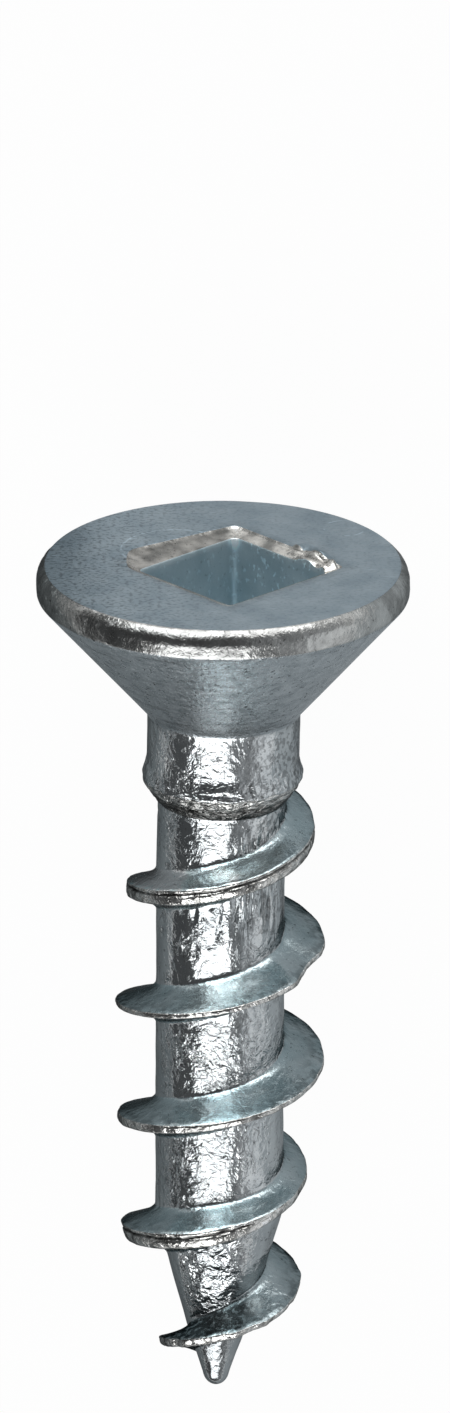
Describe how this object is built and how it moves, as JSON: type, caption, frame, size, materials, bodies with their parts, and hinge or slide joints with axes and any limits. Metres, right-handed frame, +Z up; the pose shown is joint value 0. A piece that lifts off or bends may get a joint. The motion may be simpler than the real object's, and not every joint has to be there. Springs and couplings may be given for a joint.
{
  "type": "flat head wood screw",
  "caption": "Flat head wood screw lying on its side: countersunk head with a square recess, short smooth neck, coarse sharp thread and a blunt tapered point.",
  "frame": {"origin": "bottom centre of the box round the screw as it lies at rest on its rim and thread", "axes": "+Z up from the floor; the screw's own axis lies in the X-Z plane, head towards +X and a little above level, point towards -X"},
  "size_m": [0.0194, 0.008, 0.008],
  "materials": {
    "zinc_plate": "bright zinc plate, blue-grey, satin on the head"
  },
  "bodies": {
    "root": {"screw": "zinc_plate"}
  },
  "joints": []
}
